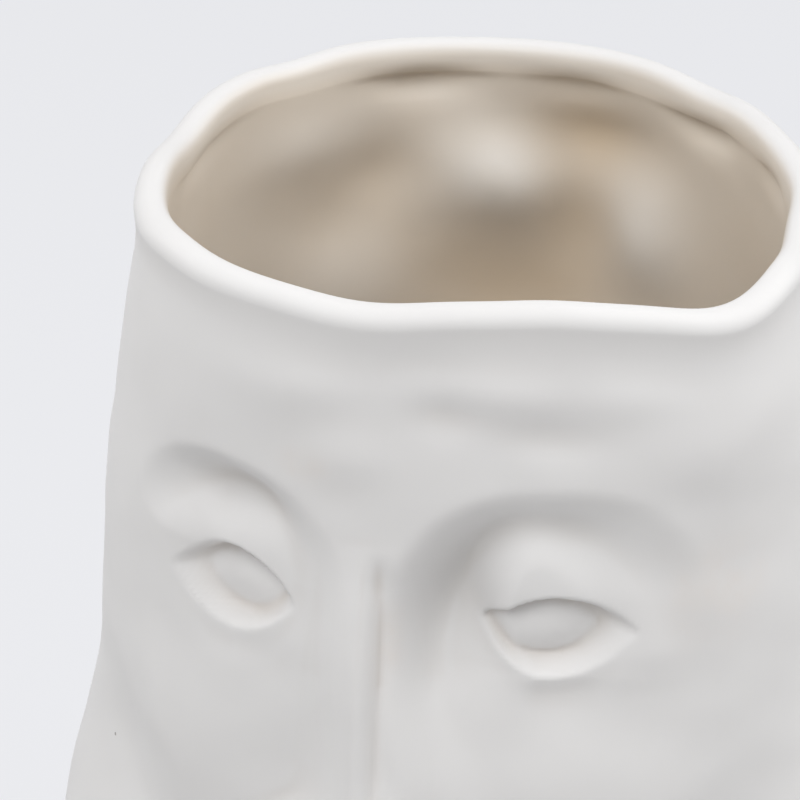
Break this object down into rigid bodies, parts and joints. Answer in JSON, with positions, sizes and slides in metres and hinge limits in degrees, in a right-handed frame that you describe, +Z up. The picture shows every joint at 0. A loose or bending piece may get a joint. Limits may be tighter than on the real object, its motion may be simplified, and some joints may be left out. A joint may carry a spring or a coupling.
{
  "type": "face vase",
  "caption": "Hand-built matte off-white ceramic vase shaped as a head, open at the top with a rolled uneven lip, a pressed-in face with blank almond eyes, and a flat foot.",
  "frame": {"origin": "centre of the flat foot, at the middle plane of the face", "axes": "+Z up, the face looks along -Y, +X to the right of someone looking at the face"},
  "size_m": [0.1584, 0.1395, 0.215],
  "materials": {
    "bisque": "matte unglazed off-white stoneware"
  },
  "bodies": {
    "root": {"base_slab": "bisque", "front_shell": "bisque", "back_shell": "bisque", "rim_coil": "bisque", "nose": "bisque", "left_eyeball": "bisque", "right_eyeball": "bisque", "left_upper_lid": "bisque", "right_upper_lid": "bisque", "left_lower_lid": "bisque", "right_lower_lid": "bisque", "upper_lip": "bisque", "lower_lip": "bisque"}
  },
  "joints": []
}
